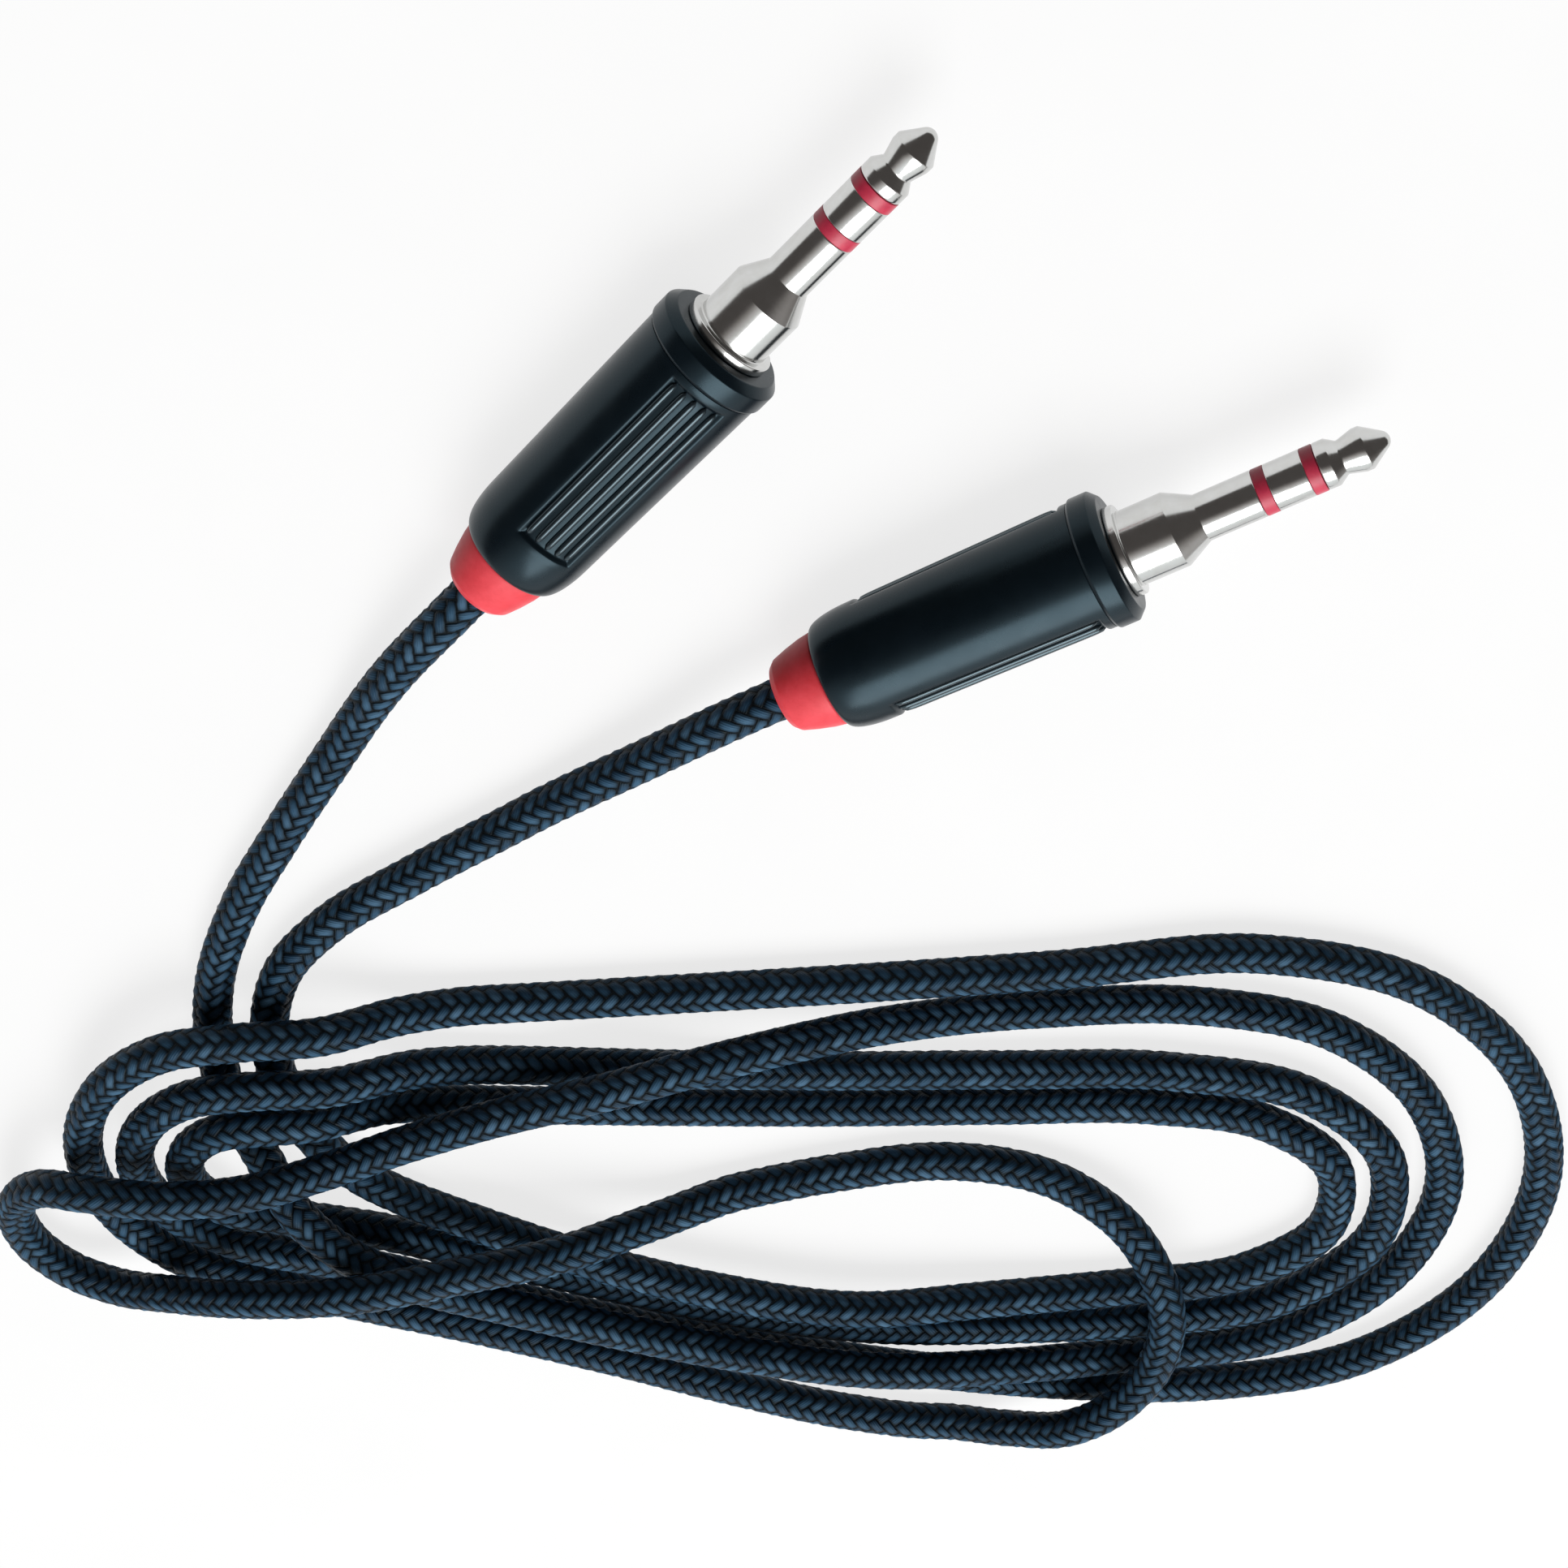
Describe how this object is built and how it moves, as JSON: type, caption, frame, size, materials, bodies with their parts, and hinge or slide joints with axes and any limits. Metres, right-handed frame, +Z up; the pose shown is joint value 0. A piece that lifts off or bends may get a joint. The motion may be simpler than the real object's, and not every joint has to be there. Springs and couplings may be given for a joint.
{
  "type": "stereo audio cable",
  "caption": "Braided stereo instrument and audio cable with a straight moulded 3.5 mm jack plug at each end, lying in a loose pile of loops with both plugs beside it",
  "frame": {"origin": "on the surface the plugs lie on, under the middle of the box round the two plugs", "axes": "+Z up, away from the surface; +X along the longer side of the box round the two plugs; +Y from the pile of cord towards the plugs"},
  "size_m": [0.1318, 0.1259, 0.0107],
  "materials": {
    "barrel_black": "satin-gloss moulded shell",
    "relief_red": "soft red moulding, satin",
    "contact_nickel": "bright turned nickel plate",
    "insulator_red": "crimson moulded insulator",
    "core_plastic": "natural moulded core",
    "clamp_brass": "stamped brass",
    "wire_cover": "wire insulation",
    "shield_copper": "twisted bare wires",
    "cord_braid": "fine blue-black braid"
  },
  "bodies": {
    "root": {"barrel_a": "barrel_black", "strain_relief_a": "relief_red", "sleeve_contact_a": "contact_nickel", "ring_insulator_a": "insulator_red", "ring_contact_a": "contact_nickel", "tip_insulator_a": "insulator_red", "tip_contact_a": "contact_nickel", "inner_core_a": "core_plastic", "rear_bush_a": "core_plastic", "ground_clamp_a": "clamp_brass", "cord_end_a": "cord_braid", "left_conductor_a": "wire_cover", "right_conductor_a": "wire_cover", "shield_tail_a": "shield_copper", "barrel_b": "barrel_black", "strain_relief_b": "relief_red", "sleeve_contact_b": "contact_nickel", "ring_insulator_b": "insulator_red", "ring_contact_b": "contact_nickel", "tip_insulator_b": "insulator_red", "tip_contact_b": "contact_nickel", "inner_core_b": "core_plastic", "rear_bush_b": "core_plastic", "ground_clamp_b": "clamp_brass", "cord_end_b": "cord_braid", "left_conductor_b": "wire_cover", "right_conductor_b": "wire_cover", "shield_tail_b": "shield_copper", "cord_lead_a": "cord_braid", "cord_coil": "cord_braid", "cord_lead_b": "cord_braid"}
  },
  "joints": []
}
